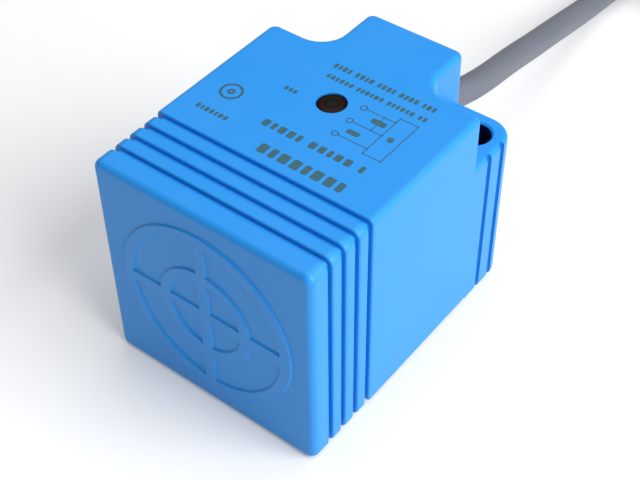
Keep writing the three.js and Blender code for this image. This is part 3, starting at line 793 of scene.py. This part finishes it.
# the column and layer of each turn: from the outside of the bottom layer to one turn on top
turns = [(1, 0), (0, 0), (0, 1), (1, 1), (1, 2), (0, 2), (0, 3), (1, 3), (1, 4), (0, 4), (0, 5)]
# shares of a turn: up the left side, round the far end, down the right side, round the near end
far_end, right_side, near_end = 0.2, 0.5, 0.7
shift_from, shift_to, climb_aside = 0.54, 0.7, 1.2 * mm


def eased(value):
    value = min(1.0, max(0.0, value))
    return value * value * (3 - 2 * value)


def hank_point(turn):
    """A point on the hank after so many turns; each turn shifts to its next place on the right side."""
    k = min(int(turn), len(turns) - 1)
    share = turn - k
    column, layer = turns[k]
    aside = 0.0
    if k + 1 < len(turns):
        moved = eased((share - shift_from) / (shift_to - shift_from))
        if turns[k + 1][1] > layer:
            aside = (1 if column else -1) * climb_aside * 4 * moved * (1 - moved)
        column += (turns[k + 1][0] - column) * moved
        layer += (turns[k + 1][1] - layer) * moved
    radius = inner_turn + (outer_turn - inner_turn) * column + aside
    height = hank_low.z + cable_radius + layer * 2 * cable_radius
    if share < far_end:
        return Vector((hank_x - radius, hank_y + hank_straight * share / far_end, height))
    if share < right_side:
        a = math.pi * (right_side - share) / (right_side - far_end)
        far_y = hank_y + hank_straight
        return Vector((hank_x + radius * math.cos(a), far_y + radius * math.sin(a), height))
    if share < near_end:
        left = (near_end - share) / (near_end - right_side)
        return Vector((hank_x + radius, hank_y + hank_straight * left, height))
    a = -math.pi * (share - near_end) / (1 - near_end)
    return Vector((hank_x + radius * math.cos(a), hank_y + radius * math.sin(a), height))


def curved(points, spacing):
    """A smooth line through points, with one about every spacing."""
    line = []
    ends = [points[0] * 2 - points[1], *points, points[-1] * 2 - points[-2]]
    for a, b, c, d in zip(ends, ends[1:], ends[2:], ends[3:]):
        steps = max(1, round((c - b).length / spacing))
        slope, bend, twist = c - a, 2 * a - 5 * b + 4 * c - d, 3 * b - a - 3 * c + d
        for i in range(steps):
            t = i / steps
            line.append(0.5 * (2 * b + slope * t + bend * t * t + twist * t**3))
    return [*line, points[-1]]


def cord_curve(name, line, radius, sides=4):
    curve = bpy.data.curves.new(name, "CURVE")
    curve.dimensions = "3D"
    curve.bevel_depth = 1.0
    curve.bevel_resolution = sides
    curve.use_fill_caps = True
    spline = curve.splines.new("POLY")
    spline.points.add(len(line) - 1)
    for point, place in zip(spline.points, line):
        point.co = (*place, 1.0)
        point.radius = radius
    spline.use_smooth = True
    piece = bpy.data.objects.new(name, curve)
    bpy.context.scene.collection.objects.link(piece)
    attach(piece, "root")
    return piece


run = [Vector(p) * mm for p in cable_run]
steps_per_turn = 80
whole_turns = (len(turns) - 1) * steps_per_turn
last_steps = 4
wound = [hank_point(i / steps_per_turn) for i in range(whole_turns)]
last_share = far_end * tail_end / hank_straight
wound += [hank_point(len(turns) - 1 + last_share * i / last_steps) for i in range(last_steps + 1)]
cable_line = curved([*run, *wound[:3]], 2.5 * mm)[:-3] + wound[2:]
cable = cord_curve("cable", cable_line, cable_radius, 6)
jacket = Finish("pvc_jacket", (0.105, 0.116, 0.146), 0.5, Specular_IOR_Level=0.4)
drawn = jacket.noise(0.5 * mm, 3.0)
handled = jacket.noise(18 * mm, 2.0)
jacket.feed(
    Base_Color=jacket.tint(handled * 0.45, (0.17, 0.18, 0.21)),
    Roughness=handled * 0.15 + 0.42,
).bumps(drawn, 0.25, 0.03 * mm).on(cable)
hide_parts("cable_run", "cable_hank", "cable_tail")
jacket.on(nodes["cable_inner_end"])


# ======================================================================== cable bush and clamp
# A soft grey PVC bush is pushed into the rear bore and tapers onto the cable, so that the cable
# doesn't kink there. Inside, a nylon ring gripped on the jacket takes the pull.
bush_low, bush_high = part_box("cable_bush")


def bush():
    bore, seat, collar = 2.6 * mm, 4.0 * mm, 5.1 * mm
    wall = rear_y + gap
    profile = [(bore, bush_low.y), (seat, bush_low.y), (seat, wall)]
    profile += [(collar - 0.2 * mm, wall), (collar, wall + 0.2 * mm)]
    profile += [(collar, wall + 0.7 * mm), (collar - 0.25 * mm, wall + 0.95 * mm)]
    taper_start = wall + 1.3 * mm
    taper = bush_tip - taper_start
    wide, narrowing, sink, rings = 4.6 * mm, 1.35 * mm, 0.35 * mm, 4
    for i in range(rings):
        for share, depth in ((0.0, 0.0), (0.55, 0.0), (0.65, sink), (0.9, sink)):
            t = (i + share) / rings
            profile.append((wide - narrowing * t - depth, taper_start + taper * t))
    profile += [(3.1 * mm, bush_tip - 0.1 * mm), (3.0 * mm, bush_tip), (bore, bush_tip)]

    def place(u, v, height):
        return Vector((u, height, v + mid_z))

    return smooth(turned("strain_relief_bush", profile, place, 64), 30)


strain_relief = bush()
soft_pvc = moulded("soft_pvc", (0.11, 0.12, 0.15), 0.55, 0.3 * mm, 0.01 * mm)
soft_pvc.on(strain_relief)
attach(strain_relief, "root")
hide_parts("cable_bush")
clamp = softened(nodes["cable_clamp"], 0.2 * mm)
natural_nylon.on(clamp)


# ======================================================================== stripped wire ends
# The jacket is stripped back and leaves three 1.3 mm PVC wires, brown, blue and black, each with
# a few millimetres of tinned strands twisted together.
wire_radius = 0.65 * mm
stripped = 34
tail_z = (hank_high.z + cable_radius) / mm
rest_z = (hank_high.z + wire_radius) / mm
wires = {
    "brown": ((0.16, 0.05, 0.016), ((1.25, tail_z - 0.6), (1.8, rest_z), (3.2, rest_z))),
    "blue": ((0.02, 0.12, 0.55), ((0, tail_z + 1.2), (0.2, rest_z), (0.6, rest_z))),
    "black": ((0.012, 0.012, 0.013), ((-1.25, tail_z - 0.6), (-1.4, rest_z), (-2.6, rest_z))),
}


def past_tail(distance, sideways, height):
    """A point past the jacket's end, in millimetres along it, to its right and above the floor."""
    return Vector((hank_x - inner_turn + sideways * mm, hank_y + tail_end + distance * mm, height * mm))


def strands(name, start, direction, length):
    """Seven fine strands twisted together: one in the middle and six round it."""
    outer, steps, twist = 6, 16, 0.9
    strand_radius, strand_offset = 0.13 * mm, 0.26 * mm
    side = direction.cross(Vector((0, 0, 1))).normalized()
    up = side.cross(direction)
    curve = bpy.data.curves.new(name, "CURVE")
    curve.dimensions = "3D"
    curve.bevel_depth = 1.0
    curve.bevel_resolution = 2
    curve.use_fill_caps = True
    for k in range(outer + 1):
        spline = curve.splines.new("POLY")
        spline.points.add(steps)
        off = strand_offset if k else 0.0
        for i, point in enumerate(spline.points):
            t = i / steps
            a = 2 * math.pi * (k / outer + twist * t)
            place = start + direction * length * t + (side * math.cos(a) + up * math.sin(a)) * off
            point.co = (*place, 1.0)
            point.radius = strand_radius
    piece = bpy.data.objects.new(name, curve)
    bpy.context.scene.collection.objects.link(piece)
    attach(piece, "root")
    return piece


tinned = Finish("tinned_copper", (0.62, 0.60, 0.57), 0.32, 1.0)
tinned.feed(
    Base_Color=tinned.tint(tinned.noise(0.6 * mm), (0.45, 0.40, 0.36)),
    Roughness=tinned.noise(0.3 * mm) * 0.3 + 0.2,
)
wire_pieces = []
for colour, (paint, ((s0, z0), (s1, z1), (s2, z2))) in wires.items():
    points = [
        past_tail(-0.5, s0, z0),
        past_tail(0.3, s0, z0),
        past_tail(5, s0 * 1.2, (2 * z0 + z1) / 3),
        past_tail(stripped * 0.45, s1, z1),
        past_tail(stripped * 0.75, (s1 + s2) / 2, z2 + 0.05),
        past_tail(stripped, s2, z2),
    ]
    wire = cord_curve(f"stripped_wire_{colour}", curved(points, 1 * mm), wire_radius, 4)
    pvc = Finish(f"pvc_{colour}", paint, 0.4)
    pvc.feed(
        Base_Color=pvc.tint(pvc.noise(5 * mm) * 0.3, [min(1, c * 1.6 + 0.02) for c in paint]),
        Roughness=pvc.noise(2 * mm) * 0.15 + 0.33,
    ).bumps(pvc.noise(0.4 * mm), 0.2, 0.01 * mm).on(wire, nodes[f"inner_wire_{colour}"])
    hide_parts(f"wire_{colour}")
    heading = points[-1] - points[-2]
    heading.z = 0
    heading.normalize()
    overlap, shown = 0.4 * mm, 6 * mm
    tip = strands(f"strands_{colour}", points[-1] - heading * overlap, heading, shown + overlap)
    tinned.on(tip)
    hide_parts(f"wire_tip_{colour}")
    wire_pieces += [wire, tip]


# ======================================================================== cable ties
# Two black nylon cable ties hold the hank, which rests on their bands.
tie_nylon = moulded("tie_nylon", (0.012, 0.012, 0.013), 0.38)
ties = [softened(nodes[f"cable_tie_{i}"], 0.2 * mm) for i in (1, 2)]
tie_nylon.on(*ties)


# ======================================================================== floor, light and camera
# A plain pale sweep, a large soft light from the right and above, and an even white surround.
def studio_floor():
    size = 2.0
    floor = mesh_object(
        "studio_floor",
        [(-size, -size, 0), (size, -size, 0), (size, size, 0), (-size, size, 0)],
        [(0, 1, 2, 3)],
    )
    paper = Finish(
        "paper", (0.72, 0.725, 0.73), 0.9, Emission_Color=(0.98, 0.99, 1, 1), Emission_Strength=0.13
    )
    paper.feed(Base_Color=paper.tint(paper.noise(0.4) * 0.2, (0.70, 0.705, 0.71)))
    paper.on(floor)


def soft_light(name, place, target, size, watts, color=(1, 1, 1)):
    lamp = bpy.data.lights.new(name, "AREA")
    lamp.shape = "SQUARE"
    lamp.size = size
    lamp.energy = watts
    lamp.color = color
    light = bpy.data.objects.new(name, lamp)
    light.location = place
    light.rotation_euler = (Vector(target) - Vector(place)).to_track_quat("-Z", "Y").to_euler()
    bpy.context.scene.collection.objects.link(light)


studio_floor()
middle = (0, 0, mid_z)
soft_light("key", (0.75, 0.07, 0.57), middle, 0.8, 13.4)
soft_light("overhead", (-0.05, 0.25, 1.0), middle, 0.9, 5.0)
surround = bpy.data.worlds.new("surround")
surround.use_nodes = True
surround.node_tree.nodes["Background"].inputs["Color"].default_value = (1, 1, 1, 1)
surround.node_tree.nodes["Background"].inputs["Strength"].default_value = 0.25
bpy.context.scene.world = surround
bpy.context.scene.view_settings.view_transform = "Standard"

lens_data = bpy.data.cameras.new("camera")
lens_data.sensor_width = 36
lens_data.lens = 72.89
lens_data.clip_start = 0.01
camera = bpy.data.objects.new("camera", lens_data)
backwards = -Vector((-0.4359, 0.5573, -0.7067)).normalized()
upwards = Vector((-0.4249, 0.5647, 0.7075)).normalized()
sideways = upwards.cross(backwards).normalized()
upwards = backwards.cross(sideways)
turn_to = Matrix((sideways, upwards, backwards)).transposed().to_4x4()
camera.matrix_world = Matrix.Translation(Vector((91.84, -116.41, 162.52)) * mm) @ turn_to
bpy.context.scene.collection.objects.link(camera)
bpy.context.scene.camera = camera
